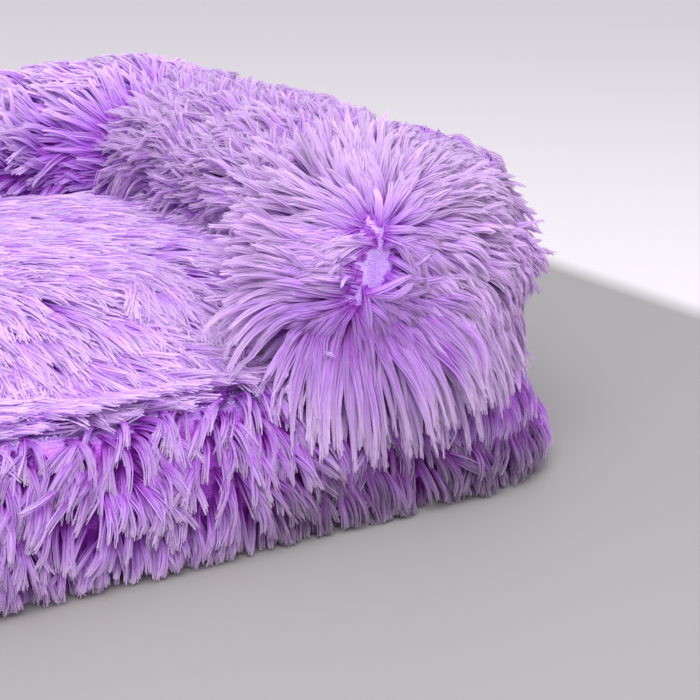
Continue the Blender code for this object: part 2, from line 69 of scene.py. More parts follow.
def newGroup(name, inputs, outputs):
    group = bpy.data.node_groups.new(name, "ShaderNodeTree")
    for label, kind, value in inputs:
        socket = group.interface.new_socket(label, in_out="INPUT", socket_type=kind)
        if value is not None:
            socket.default_value = value
    for label, kind in outputs:
        group.interface.new_socket(label, in_out="OUTPUT", socket_type=kind)
    return group, group.nodes.new("NodeGroupInput"), group.nodes.new("NodeGroupOutput")


def fillSocket(tree, socket, value):
    if isinstance(value, bpy.types.NodeSocket):
        tree.links.new(value, socket)
    else:
        socket.default_value = value


def mathNode(tree, operation, *values, clamp=False):
    node = tree.nodes.new("ShaderNodeMath")
    node.operation = operation
    node.use_clamp = clamp
    for socket, value in zip(node.inputs, values):
        fillSocket(tree, socket, value)
    return node.outputs[0]


def mixColour(tree, blend, factor, first, second):
    node = tree.nodes.new("ShaderNodeMix")
    node.data_type = "RGBA"
    node.blend_type = blend
    for place, value in ((0, factor), (6, first), (7, second)):
        fillSocket(tree, node.inputs[place], value)
    return node.outputs[2]


def objectPlace(tree):
    return tree.nodes.new("ShaderNodeTexCoord").outputs["Object"]


def axesOf(tree, place):
    axes = tree.nodes.new("ShaderNodeSeparateXYZ")
    tree.links.new(place, axes.inputs[0])
    return axes.outputs


def attributeValue(tree, name):
    node = tree.nodes.new("ShaderNodeAttribute")
    node.attribute_name = name
    return node.outputs["Fac"]


def addGroup(tree, group, values):
    node = tree.nodes.new("ShaderNodeGroup")
    node.node_tree = group
    for label, value in values.items():
        fillSocket(tree, node.inputs[label], value)
    return node


def addBump(tree, shader, height, distance, strength):
    bump = tree.nodes.new("ShaderNodeBump")
    bump.inputs["Distance"].default_value = distance
    bump.inputs["Strength"].default_value = strength
    tree.links.new(height, bump.inputs["Height"])
    tree.links.new(bump.outputs["Normal"], shader.inputs["Normal"])


def newMaterial(name, colour, roughness, metallic=0.0):
    material = bpy.data.materials.new(name)
    material.use_nodes = True
    material.diffuse_color = colour
    shader = material.node_tree.nodes["Principled BSDF"]
    shader.inputs["Base Color"].default_value = colour
    shader.inputs["Roughness"].default_value = roughness
    shader.inputs["Metallic"].default_value = metallic
    return material, material.node_tree, shader


pileLook = {
    "root": linear(178, 56, 206), "shade": linear(216, 136, 244), "shadeAt": 0.15,
    "middle": linear(233, 186, 255), "middleAt": 0.45, "tip": linear(246, 220, 255), "tipAt": 0.98,
    "toneFloor": 0.40, "toneSpan": 0.62, "through": 0.52, "roughness": 0.62, "specular": 0.10,
    "sheen": 0.08, "sheenRoughness": 0.45, "sheenTint": linear(238, 220, 255),
}


def makePileGroup():
    # colour along a strand: pale at the tip, and dark and saturated at the root, which is partly painted shade
    # deep in the pile; made darker or paler strand by strand, by random tone and by painted shade
    group, given, result = newGroup(
        "pile_colour",
        [("Along", "NodeSocketFloat", 0.5), ("Tone", "NodeSocketFloat", 0.5)],
        [("Color", "NodeSocketColor")],
    )
    ramp = group.nodes.new("ShaderNodeValToRGB")
    ramp.color_ramp.interpolation = "EASE"
    stops = ramp.color_ramp.elements
    stops[0].position = 0.0
    stops[0].color = pileLook["root"]
    stops[1].position = pileLook["tipAt"]
    stops[1].color = pileLook["tip"]
    for name in ("shade", "middle"):
        stops.new(pileLook[name + "At"]).color = pileLook[name]
    group.links.new(given.outputs["Along"], ramp.inputs[0])
    tone = given.outputs["Tone"]
    strength = mathNode(group, "MULTIPLY_ADD", tone, pileLook["toneSpan"], pileLook["toneFloor"])
    tint = group.nodes.new("ShaderNodeCombineColor")
    for socket in tint.inputs:
        group.links.new(strength, socket)
    toned = mixColour(group, "MULTIPLY", 1.0, ramp.outputs[0], tint.outputs[0])
    group.links.new(toned, result.inputs["Color"])
    return group


def makePileMaterial():
    material, tree, shader = newMaterial("lavender_pile", pileLook["middle"], pileLook["roughness"])
    colour = addGroup(tree, makePileGroup(), {
        "Along": attributeValue(tree, "furAlongAndShade"), "Tone": attributeValue(tree, "furToneAndShade"),
    })
    tree.links.new(colour.outputs["Color"], shader.inputs["Base Color"])
    # light that passes through the thin fibres
    through = tree.nodes.new("ShaderNodeBsdfTranslucent")
    tree.links.new(colour.outputs["Color"], through.inputs["Color"])
    both = tree.nodes.new("ShaderNodeMixShader")
    both.inputs[0].default_value = pileLook["through"]
    tree.links.new(shader.outputs[0], both.inputs[1])
    tree.links.new(through.outputs[0], both.inputs[2])
    tree.links.new(both.outputs[0], tree.nodes["Material Output"].inputs["Surface"])
    shader.inputs["Specular IOR Level"].default_value = pileLook["specular"]
    shader.inputs["Sheen Weight"].default_value = pileLook["sheen"]
    shader.inputs["Sheen Roughness"].default_value = pileLook["sheenRoughness"]
    shader.inputs["Sheen Tint"].default_value = pileLook["sheenTint"]
    return material


knitSettings = {
    "stitch": 700.0, "unevenness": 0.35, "rim": 1.6, "roughness": 0.85, "bump": 0.5, "bumpDepth": 0.0006,
    "ground": linear(206, 166, 238), "hole": linear(140, 84, 196), "bareReach": 0.024,
    # painted shade of the backing under the pile
    "rootedShadeGround": linear(176, 76, 206), "rootedShadeHole": linear(98, 26, 120),
}


def makeKnitGroup():
    group, given, result = newGroup(
        "knit",
        [("Scale", "NodeSocketFloat", knitSettings["stitch"]), ("Ground", "NodeSocketColor", None),
         ("Hole", "NodeSocketColor", None)],
        [("Color", "NodeSocketColor"), ("Height", "NodeSocketFloat")],
    )
    cells = group.nodes.new("ShaderNodeTexVoronoi")
    cells.inputs["Randomness"].default_value = knitSettings["unevenness"]
    group.links.new(objectPlace(group), cells.inputs["Vector"])
    group.links.new(given.outputs["Scale"], cells.inputs["Scale"])
    height = mathNode(group, "MULTIPLY", cells.outputs["Distance"], knitSettings["rim"], clamp=True)
    colour = mixColour(group, "MIX", height, given.outputs["Hole"], given.outputs["Ground"])
    group.links.new(colour, result.inputs["Color"])
    group.links.new(height, result.inputs["Height"])
    return group


def makeBackingMaterial():
    # bare knit where no pile grows; elsewhere painted shade, darker and more saturated between the roots,
    # where shade falls under the pile
    material, tree, shader = newMaterial("knitted_backing", knitSettings["ground"], knitSettings["roughness"])
    knit = addGroup(tree, makeKnitGroup(), {
        "Scale": knitSettings["stitch"], "Ground": knitSettings["ground"], "Hole": knitSettings["hole"],
    })
    height = knit.outputs["Height"]
    shadedRoots = mixColour(tree, "MIX", height, knitSettings["rootedShadeHole"], knitSettings["rootedShadeGround"])
    seen = mixColour(tree, "MIX", attributeValue(tree, "furBare"), shadedRoots, knit.outputs["Color"])
    tree.links.new(seen, shader.inputs["Base Color"])
    addBump(tree, shader, height, knitSettings["bumpDepth"], knitSettings["bump"])
    return material


def makeWeaveGroup():
    # plain weave, the warp over the weft in every second cell
    group, given, result = newGroup(
        "weave",
        [("Scale", "NodeSocketFloat", 4000.0), ("Warp", "NodeSocketColor", None),
         ("Weft", "NodeSocketColor", None)],
        [("Color", "NodeSocketColor"), ("Height", "NodeSocketFloat")],
    )
    axes = axesOf(group, objectPlace(group))
    waves = [
        mathNode(group, "SINE", mathNode(group, "MULTIPLY", axes[axis], given.outputs["Scale"]))
        for axis in ("X", "Y")
    ]
    both = mathNode(group, "MULTIPLY", *waves)
    share = mathNode(group, "MULTIPLY_ADD", both, 0.5, 0.5)
    colour = mixColour(group, "MIX", share, given.outputs["Weft"], given.outputs["Warp"])
    group.links.new(colour, result.inputs["Color"])
    group.links.new(mathNode(group, "ABSOLUTE", both), result.inputs["Height"])
    return group


def makeSpeckleGroup():
    # uneven grain, drawn out along an axis for brushed metal and fibres
    group, given, result = newGroup(
        "speckle",
        [("Scale", "NodeSocketFloat", 200.0), ("Stretch", "NodeSocketVector", None),
         ("Light", "NodeSocketColor", None), ("Dark", "NodeSocketColor", None)],
        [("Color", "NodeSocketColor"), ("Height", "NodeSocketFloat")],
    )
    drawn = group.nodes.new("ShaderNodeVectorMath")
    drawn.operation = "MULTIPLY"
    group.links.new(objectPlace(group), drawn.inputs[0])
    group.links.new(given.outputs["Stretch"], drawn.inputs[1])
    cloud = group.nodes.new("ShaderNodeTexNoise")
    cloud.inputs["Detail"].default_value = 4.0
    group.links.new(drawn.outputs[0], cloud.inputs["Vector"])
    group.links.new(given.outputs["Scale"], cloud.inputs["Scale"])
    colour = mixColour(group, "MIX", cloud.outputs[0], given.outputs["Dark"], given.outputs["Light"])
    group.links.new(colour, result.inputs["Color"])
    group.links.new(cloud.outputs[0], result.inputs["Height"])
    return group


weaveGroup = makeWeaveGroup()
speckleGroup = makeSpeckleGroup()
clothSettings = {
    "thread": 0.0009, "warp": linear(112, 110, 118), "weft": linear(84, 82, 90), "roughness": 0.9,
    "wear": {
        "Scale": 9.0, "Stretch": (1, 1, 1), "Light": linear(255, 255, 255), "Dark": linear(150, 150, 150),
    },
    "rubber": {
        "Scale": 900.0, "Stretch": (1, 1, 1), "Light": linear(206, 204, 210), "Dark": linear(176, 174, 182),
    },
    "wearShare": 0.5, "dotTop": 0.00075, "dotSmoother": 0.4, "bump": 0.8, "bumpDepth": 0.0002,
}
tapeSettings = {
    "thread": 0.0005, "warp": linear(168, 120, 216), "weft": linear(136, 88, 186), "roughness": 0.85,
    "bump": 0.8, "bumpDepth": 0.00012,
}


def addWeave(tree, settings):
    return addGroup(tree, weaveGroup, {
        "Scale": math.pi / settings["thread"], "Warp": settings["warp"], "Weft": settings["weft"],
    })


def makeClothMaterial():
    # worn woven cloth, with rubber below the level of the dots' foot
    roughness = clothSettings["roughness"]
    material, tree, shader = newMaterial("grey_woven_cloth", clothSettings["warp"], roughness)
    weave = addWeave(tree, clothSettings)
    wear = addGroup(tree, speckleGroup, clothSettings["wear"])
    rubber = addGroup(tree, speckleGroup, clothSettings["rubber"])
    worn = mixColour(
        tree, "MULTIPLY", clothSettings["wearShare"], weave.outputs["Color"], wear.outputs["Color"],
    )
    dot = mathNode(tree, "LESS_THAN", axesOf(tree, objectPlace(tree))["Z"], clothSettings["dotTop"])
    tree.links.new(mixColour(tree, "MIX", dot, worn, rubber.outputs["Color"]), shader.inputs["Base Color"])
    smoother = mathNode(tree, "MULTIPLY", dot, clothSettings["dotSmoother"])
    tree.links.new(mathNode(tree, "SUBTRACT", roughness, smoother), shader.inputs["Roughness"])
    height = mathNode(tree, "MULTIPLY", weave.outputs["Height"], mathNode(tree, "SUBTRACT", 1.0, dot))
    addBump(tree, shader, height, clothSettings["bumpDepth"], clothSettings["bump"])
    return material


def makeTapeMaterial():
    material, tree, shader = newMaterial("woven_zip_tape", tapeSettings["warp"], tapeSettings["roughness"])
    weave = addWeave(tree, tapeSettings)
    tree.links.new(weave.outputs["Color"], shader.inputs["Base Color"])
    addBump(tree, shader, weave.outputs["Height"], tapeSettings["bumpDepth"], tapeSettings["bump"])
    return material


speckleBump = 0.6
speckled = {
    "moulded_zip_teeth": {
        "Scale": 500.0, "Stretch": (1, 1, 1), "Light": linear(176, 132, 222), "Dark": linear(158, 112, 206),
        "roughness": 0.38, "metallic": 0.0, "bumpDepth": 0.00004,
    },
    "plated_zip_metal": {
        "Scale": 300.0, "Stretch": (1, 12, 12), "Light": linear(214, 212, 208), "Dark": linear(184, 181, 176),
        "roughness": 0.27, "metallic": 1.0, "bumpDepth": 0.00002,
    },
    "white_fibre": {
        "Scale": 160.0, "Stretch": (1, 5, 3), "Light": linear(246, 246, 242), "Dark": linear(214, 213, 208),
        "roughness": 0.95, "metallic": 0.0, "bumpDepth": 0.0015,
    },
    "sewing_thread": {
        "Scale": 2600.0, "Stretch": (1, 4, 4), "Light": linear(234, 216, 246), "Dark": linear(204, 178, 226),
        "roughness": 0.7, "metallic": 0.0, "bumpDepth": 0.0001,
    },
}


def makeSpeckledMaterial(name):
    settings = speckled[name]
    material, tree, shader = newMaterial(name, settings["Light"], settings["roughness"], settings["metallic"])
    labels = ("Scale", "Stretch", "Light", "Dark")
    grain = addGroup(tree, speckleGroup, {label: settings[label] for label in labels})
    tree.links.new(grain.outputs["Color"], shader.inputs["Base Color"])
    addBump(tree, shader, grain.outputs["Height"], settings["bumpDepth"], speckleBump)
    return material


pileMaterial = makePileMaterial()
backingMaterial = makeBackingMaterial()
clothMaterial = makeClothMaterial()
zipMaterials = {
    "tape": makeTapeMaterial(), "teeth": makeSpeckledMaterial("moulded_zip_teeth"),
    "metal": makeSpeckledMaterial("plated_zip_metal"),
}
stuffingMaterial = makeSpeckledMaterial("white_fibre")
threadMaterial = makeSpeckledMaterial("sewing_thread")
print("stage: materials")

# surfaces read from the frame's nodes
mergeScale = 2e4


def readNode(name):
    # triangles, with points that share a place made one
    mesh = nodes[name].data
    mesh.calc_loop_triangles()
    points = np.empty(len(mesh.vertices) * 3, np.float32)
    mesh.vertices.foreach_get("co", points)
    corners = np.empty(len(mesh.loop_triangles) * 3, np.int32)
    mesh.loop_triangles.foreach_get("vertices", corners)
    points = points.reshape(-1, 3).astype(float)
    cells = np.round(points * mergeScale).astype(int)
    _, first, index = np.unique(cells, axis=0, return_index=True, return_inverse=True)
    faces = index.reshape(-1)[corners].reshape(-1, 3)
    whole = (faces[:, 0] != faces[:, 1]) & (faces[:, 1] != faces[:, 2]) & (faces[:, 0] != faces[:, 2])
    return points[first], faces[whole]


def faceNormals(points, faces):
    cross = np.cross(points[faces[:, 1]] - points[faces[:, 0]], points[faces[:, 2]] - points[faces[:, 0]])
    area = np.linalg.norm(cross, axis=1) / 2
    return unit(cross), area


def treeOf(meshes):
    points, faces, start = [], [], 0
    for meshPoints, meshFaces in meshes:
        points.append(meshPoints)
        faces.append(meshFaces + start)
        start += len(meshPoints)
    return BVHTree.FromPolygons(np.concatenate(points).tolist(), np.concatenate(faces).tolist())


surfaces = {name: readNode(name) for name in nodes}


def relaxed(points, faces, free, rounds=12):
    # evens out small folds
    ends = np.concatenate([faces[:, [0, 1]], faces[:, [1, 2]], faces[:, [2, 0]]])
    ends = np.unique(np.sort(ends, axis=1), axis=0)
    count = np.zeros(len(points))
    for first, second in ((0, 1), (1, 0)):
        np.add.at(count, ends[:, first], 1)
    for _ in range(rounds):
        total = np.zeros_like(points)
        for first, second in ((0, 1), (1, 0)):
            np.add.at(total, ends[:, first], points[ends[:, second]])
        points = np.where(free[:, None], (points + total / count[:, None]) / 2, points)
    return points


# the main pile grows where nothing lies within the hidden reach, the pile of an edge within it
hiddenReach, edgeReach = 0.006, 0.0015
shownFacing, edgeFacing = -0.75, -0.97
rayStart, hemDepth = 1e-5, 1e-4
capMiddle = np.array([0.225, -0.200, 0.150])
partingTop = np.array([0.180, -0.300, 0.180])
partingFoot = np.array([0.167, -0.300, 0.142])
armLean = (-0.170, 0.070)
capDepth = {"parting": 0.005, "partingReach": 0.045, "foot": 0.010, "footTop": (0.125, 0.030)}
frontSeam = {
    "place": -0.262, "bare": 0.0045, "run": 0.020, "reach": 0.135, "height": (0.070, 0.01),
    "depth": 0.003,
}


def mirrored(place, side):
    return np.array(place) * np.array([side, 1, 1])


def fromArm(places, side):
    return unit(places - mirrored(capMiddle, side))


def partingOffset(places, side):
    # from the nearest point of the parting, which is a short line on the arm's end
    top, foot = mirrored(partingTop, side), mirrored(partingFoot, side)
    share = ((places - top) @ (foot - top) / ((foot - top) @ (foot - top))).clip(0, 1)
    away = places - top - share[:, None] * (foot - top)
    outward = fromArm(places, side)
    level = away - outward * (away * outward).sum(axis=1, keepdims=True)
    return away, level, np.linalg.norm(level, axis=1)


def seamShare(places):
    # 1 at the seam between the seat and the border's front, 0 away from it
    near = 1 - rising(np.abs(places[:, 1] - frontSeam["place"]), frontSeam["bare"], frontSeam["run"])
    middle = 1 - rising(np.abs(places[:, 0]), frontSeam["reach"], frontSeam["run"])
    return near * middle * rising(places[:, 2], *frontSeam["height"])


def coverSurface(name, depth):
    # the backing lies below the cover's outside by the depth of its pile
    points, faces = surfaces[name]
    normals, area = faceNormals(points, faces)
    others = treeOf(surface for other, surface in surfaces.items() if other != name)
    shown = np.array([
        others.ray_cast(Vector(middle + normal * rayStart), Vector(normal), hiddenReach)[0] is None
        for middle, normal in zip(points[faces].mean(axis=1), normals)
    ])
    shown &= normals[:, 2] > shownFacing
    edge = (normals[:, 2] > edgeFacing) & ~shown
    pointNormals = np.zeros_like(points)
    for corner in range(3):
        np.add.at(pointNormals, faces[shown, corner], (normals * area[:, None])[shown])
    used = np.linalg.norm(pointNormals, axis=1) > 0
    pointNormals = unit(pointNormals)
    inner = points
    side = np.sign(points[:, 0].mean())
    if "end_cap" in name:
        # the pile stands out from the arm's middle, and lies over the pleats
        inner = relaxed(points, faces, points[:, 1] < points[:, 1].max() - hemDepth)
        pointNormals = fromArm(inner, side)
        # shallow along the parting, and at the foot, where the pile hangs over the border
        away = partingOffset(points, side)[2]
        depth = capDepth["parting"] + (depth - capDepth["parting"]) * rising(away, 0, capDepth["partingReach"])
        low = falling(points[:, 2], *capDepth["footTop"])
        depth = (depth + (np.minimum(depth, capDepth["foot"]) - depth) * low)[:, None]
    elif name in ("mat_border_cover", "seat_cover"):
        depth = (depth + (frontSeam["depth"] - depth) * seamShare(points))[:, None]
    elif "arm_cover" in name:
        # leans towards the arm's end near the front, so that both piles run on
        share = falling(points[:, 1], *armLean)[:, None]
        pointNormals = unit(pointNormals * (1 - share) + fromArm(points, side) * share)
    backing = inner - np.where(used[:, None], pointNormals * depth, 0)
    return {
        "points": points, "faces": faces, "shown": shown, "edge": edge, "area": area, "side": side,
        "normals": pointNormals, "faceNormals": normals, "backing": backing, "others": others,
    }


# for each cover the depth of its pile, the name of its backing, and the covers that it is sewn to
coverTable = {
    "seat_cover": (0.011, "seatBacking", ()),
    "mat_border_cover": (0.013, "borderBacking", ()),
    "back_bolster_cover": (0.018, "backBolsterBacking", ("right_arm_cover", "left_arm_cover")),
    "right_arm_cover": (0.018, "rightArmBacking", ("right_arm_end_cap", "back_bolster_cover")),
    "left_arm_cover": (0.018, "leftArmBacking", ("left_arm_end_cap", "back_bolster_cover")),
    "right_arm_end_cap": (0.018, "rightCapBacking", ("right_arm_cover",)),
    "left_arm_end_cap": (0.018, "leftCapBacking", ("left_arm_cover",)),
}
coverNames = list(coverTable)
covers = {name: coverSurface(name, coverTable[name][0]) for name in coverNames}
backingTree = treeOf((cover["backing"], cover["faces"]) for cover in covers.values())
backingOwner = np.repeat(np.arange(len(covers)), [len(cover["faces"]) for cover in covers.values()])


def nearestBacking(places):
    spots = np.empty_like(places)
    facing = np.empty_like(places)
    owner = np.empty(len(places), int)
    for row, place in enumerate(places.tolist()):
        spots[row], facing[row], index, _ = backingTree.find_nearest(place)
        owner[row] = backingOwner[index]
    return spots, facing, owner


def addMesh(name, points, faces, material, smooth=True):
    mesh = bpy.data.meshes.new(name)
    mesh.from_pydata(points.tolist(), [], faces.tolist())
    mesh.materials.append(material)
    if smooth:
        mesh.shade_smooth()
    piece = bpy.data.objects.new(name, mesh)
    bpy.context.scene.collection.objects.link(piece)
    return piece


print("stage: surfaces")

# backing of each cover, and the stuffing under it
for nodeName, cover in covers.items():
    piece = addMesh(coverTable[nodeName][1], cover["backing"], cover["faces"], backingMaterial)
    bare = np.zeros(len(cover["points"]))
    if "end_cap" in nodeName:
        halfReach = knitSettings["bareReach"] / 2
        bare = 1 - rising(partingOffset(cover["points"], cover["side"])[2], halfReach, halfReach)
    elif nodeName == "mat_border_cover":
        bare = seamShare(cover["points"])
    attribute = piece.data.attributes.new("furBare", "FLOAT", "POINT")
    attribute.data.foreach_set("value", bare.astype(np.float32))
    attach(piece, "bed")
    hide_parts(nodeName)

stuffingTable = {
    "mat_fill": ("matStuffing", 0.7),
    "back_bolster_fill": ("backBolsterStuffing", 0.85),
    "right_arm_fill": ("rightArmStuffing", 0.85),
    "left_arm_fill": ("leftArmStuffing", 0.85),
}
for nodeName, (pieceName, fullness) in stuffingTable.items():
    piece = addMesh(pieceName, *surfaces[nodeName], stuffingMaterial)
    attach(piece, "bed")
    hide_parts(nodeName)

# the two panels of bottom cloth, stretched under the mat, and the materials of the zip
bottomPanels = {
    "bottom_cloth_front": ("frontBottomCloth", (0.643, 0.401)),
    "bottom_cloth_rear": ("rearBottomCloth", (0.643, 0.161)),
}
for nodeName, (pieceName, flatSize) in bottomPanels.items():
    piece = addMesh(pieceName, *surfaces[nodeName], clothMaterial, False)
    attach(piece, "bed")
    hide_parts(nodeName)
for nodeName, node in nodes.items():
    if nodeName.startswith("zip"):
        kind = "tape" if "tape" in nodeName else "teeth" if "teeth" in nodeName else "metal"
        for slot in node.material_slots:
            slot.material = zipMaterials[kind]
print("stage: backing, stuffing, bottom cloth and zip")

# flow of the pile on each cover
upward = np.array([0.0, 0.0, 1.0])
forward = np.array([0.0, -1.0, 0.0])
capNap = {
    "straightStart": (0.02, 0.05), "outerStart": (0.19, 0.06),
    "swirl": 0.12, "down": 0.45, "forward": 1.1,
    "footTop": (0.160, 0.055), "footFront": (-0.266, 0.008),
}
bolsterNap = {
    "bendX": 0.147, "bendY": 0.107, "least": 1e-4, "lowTop": (0.165, 0.05), "lowTurn": 1.8,
    "sideReach": 0.20, "along": 0.95, "over": 0.30, "overMiddle": 0.6,
}
armNap = {"start": (0.05, 0.10)}
seatNap = {
    "back": np.array([0.86, -0.52, -0.10]), "middle": np.array([0.38, -0.90, -0.10]),
    "front": np.array([0.98, -0.18, -0.02]), "backStart": (-0.20, 0.10),
    "frontStart": (-0.215, 0.05),
}
borderNap = {"halfWidth": 0.35, "halfDepth": 0.31, "outward": 0.6, "down": 1.0, "along": 0.22}


def across(vectors, normals):
    return unit(vectors - normals * (vectors * normals).sum(axis=1, keepdims=True))


def capFoot(places):
    low = falling(places[:, 2], *capNap["footTop"])
    return low * falling(places[:, 1], *capNap["footFront"])


def capFlow(side):
    def flow(places, normals):
        # straight away from the parting, down on the outer side, and forward at the foot, over the edge
        away, level, far = partingOffset(places, side)
        straight = rising(far, *capNap["straightStart"])[:, None]
        away = unit(unit(level) * (1 - straight) + unit(away) * straight)
        outer = rising(places[:, 0] * side, *capNap["outerStart"])[:, None]
        out = away + np.cross(normals, away) * (-capNap["swirl"] * side) - upward * capNap["down"] * outer
        return unit(out + forward * capNap["forward"] * capFoot(places)[:, None] ** 2)
    return flow


def pathDirection(places):
    # runs back along the left arm, across the back, and forward along the right arm
    away = unit(np.stack([
        np.maximum(np.abs(places[:, 0]) - bolsterNap["bendX"], bolsterNap["least"]),
        np.maximum(places[:, 1] - bolsterNap["bendY"], bolsterNap["least"]),
    ], axis=1))
    return np.stack([away[:, 1], -away[:, 0] * np.sign(places[:, 0]), np.zeros(len(places))], axis=1)


def bolsterFlow(places, normals):
    # over the top and down the outside, and down again low on the inside
    path = pathDirection(places)
    inward = np.stack([path[:, 1], -path[:, 0], np.zeros(len(places))], axis=1)
    low = falling(places[:, 2], *bolsterNap["lowTop"])
    low = low * (normals * inward).sum(axis=1).clip(0, 1)
    over = np.cross(normals, path) * (1 - bolsterNap["lowTurn"] * low)[:, None]
    share = rising(np.abs(places[:, 0]), 0, bolsterNap["sideReach"])[:, None]
    along = -path * np.sign(places[:, :1]) * bolsterNap["along"] * share
    return across(along + over * (bolsterNap["over"] + bolsterNap["overMiddle"] * (1 - share)), normals)


def armFlow(side):
    def flow(places, normals):
        # away from the parting near the arm's end, as on the bolster behind it
        away, _, far = partingOffset(places, side)
        share = rising(far, *armNap["start"])[:, None]
        return across(across(away, normals) * (1 - share) + bolsterFlow(places, normals) * share, normals)
    return flow


def seatFlow(places, normals):
    # across the seat at the back, forward in the middle, and along the seam at the front edge
    back = rising(places[:, 1], *seatNap["backStart"])[:, None]
    front = falling(places[:, 1], *seatNap["frontStart"])[:, None]
    wanted = seatNap["back"] * back + seatNap["middle"] * (1 - back)
    return across(wanted * (1 - front) + seatNap["front"] * front, normals)


def borderFlow(places, normals):
    outward = unit(np.stack([
        places[:, 0] / borderNap["halfWidth"]**2, places[:, 1] / borderNap["halfDepth"]**2,
        np.zeros(len(places)),
    ], axis=1))
    along = np.cross(upward, outward)
    wanted = outward * borderNap["outward"] - upward * borderNap["down"] - along * borderNap["along"]
    return across(wanted, normals)


# growing the pile
rippleLook = {"waves": 7, "sizes": (0.6, 1.6), "level": 2.2}
scatterSteps, scatterJitter = (0.7548776662, 0.5698402910), 0.25
guideRules = {"liftSize": 0.7, "settle": 1.6, "waves": 1.1, "sewnStart": (0.20, 0.06)}
nearView = {"middle": (0.02, -0.16), "reach": (0.36, 0.30), "start": (0.7, 0.5), "farShare": 0.55}
# two of these settings set painted shade, for strands deep in the pile and for strands that hang
strandLook = {
    "leastReach": 0.02, "wiggles": (3, 7), "flattened": 0.8, "deepShadeShare": 0.18, "deepShadeRun": 0.8,
    "rootWidth": 0.55, "swell": 0.45, "swellRate": 3.2, "taper": 0.18, "taperStart": 0.85, "taperRun": 0.15,
    "floor": 0.0004, "ceiling": 0.2515, "clumpTone": 0.6, "strandTone": 0.4, "toneLow": 0.80,
    "toneRange": 0.22, "hangShade": 2.5,
}
toneCells, cellMargin, alongMargin = 48, 0.04, 0.01
mostFaces, mostTone = 190000, 0.999


def ripple(places, size, seed):
    draw = np.random.default_rng(seed)
    total = np.zeros(len(places))
    for _ in range(rippleLook["waves"]):
        wave = draw.normal(size=3)
        wave = wave / np.linalg.norm(wave) * (2 * math.pi / size) * draw.uniform(*rippleLook["sizes"])
        total += np.sin(places @ wave + draw.uniform(0, 2 * math.pi))
    return total / rippleLook["level"]


def scatter(cover, part, spacing, draw):
    # evenly spread places on the cover, their roots on the backing, and the way out there
    faces, area = cover["faces"][cover[part]], cover["area"][cover[part]]
    total = area.sum()
    count = int(total / spacing**2)
    order = np.arange(count)
    picks = np.searchsorted(np.cumsum(area), (order + draw.random(count)) / count * total)
    picks = np.minimum(picks, len(faces) - 1)
    first, second = ((order * step + draw.random(count) * scatterJitter) % 1 for step in scatterSteps)
    over = first + second > 1
    first = np.where(over, 1 - first, first)[:, None]
    second = np.where(over, 1 - second, second)[:, None]
    weights = (1 - first - second, first, second)

    def between(values):
        return sum(values[faces[picks][:, i]] * weights[i] for i in range(3))
    if part == "edge":
        return between(cover["points"]), between(cover["backing"]), cover["faceNormals"][cover[part]][picks]
    return between(cover["points"]), between(cover["backing"]), unit(between(cover["normals"]))


def growGuides(roots, normals, flow, coverName, rules, settings, draw):
    # one guide a clump, grown step by step over the backings
    count, steps, seed = len(roots), settings["steps"], settings["seed"]

    def wander(label, size, shift):
        return ripple(roots, size, seed + shift) * math.radians(settings[label])
    turn = wander("rippleTurn", settings["rippleSize"], 0) + wander("tuftTurn", settings["tuftSize"], 2)
    turn = turn + draw.normal(size=count) * math.radians(settings["jitter"])
    flow = unit(flow * np.cos(turn)[:, None] + np.cross(normals, flow) * np.sin(turn)[:, None])
    lift = math.radians(settings["lift"]) + draw.normal(size=count) * math.radians(settings["liftJitter"])
    lift = lift + wander("rippleLift", settings["rippleSize"] * guideRules["liftSize"], 1)
    lift = (lift + wander("tuftLift", settings["tuftSize"], 3)) * rules["press"]
    length = draw.uniform(*settings["length"], count) * rules["stretch"]
    direction = unit(normals * np.sin(lift)[:, None] + flow * np.cos(lift)[:, None])
    segment = (length / steps)[:, None]
    bend = draw.normal(size=(count, 1)) * settings["curl"]
    sag = (settings["sag"] * rules["droop"])[:, None]
    phase = draw.uniform(0, 2 * math.pi, (count, 1))
    sewnCovers = [coverNames.index(name) for name in coverTable[coverName][2]]
    path, heights = [roots], [np.zeros(count)]
    place = roots
    for step in range(1, steps + 1):
        share = step / steps
        place = place + direction * segment
        spots, facing, owner = nearestBacking(place)
        height = ((place - spots) * facing).sum(axis=1)
        own = owner == coverNames.index(coverName)
        sewn = np.isin(owner, sewnCovers)
        outside = rising(np.abs(place[:, 0]), *guideRules["sewnStart"])
        hold = np.where(own, 1, sewn * outside)
        least = np.where(own | sewn, settings["leastOwn"], settings["leastOther"])
        least = least * min(1.0, share * guideRules["settle"])
        place = place + facing * np.maximum(least - height, 0)[:, None]
        over = np.maximum(height - settings["most"] * rules["press"], 0) * hold
        place = place - facing * (over * settings["press"])[:, None]
        place[:, 2] = np.maximum(place[:, 2], settings["floor"])
        direction = unit(place - path[-1])
        sideways = np.cross(facing, direction)
        swing = bend + settings["wave"] * np.sin(share * 2 * math.pi * guideRules["waves"] + phase)
        direction = unit(direction + sideways * swing - upward * sag * share)
        path.append(place)
        heights.append(np.maximum(height, least))
    return np.stack(path), np.stack(heights)


def nearShare(places):
    # full density where the photograph looks from near, thinner with broader strands elsewhere
    out = (places[:, :2] - np.array(nearView["middle"])) / np.array(nearView["reach"])
    away = np.maximum(-out[:, 0], 0) + np.maximum(out[:, 1], 0)
    return 1 - (1 - nearView["farShare"]) * rising(away, *nearView["start"])


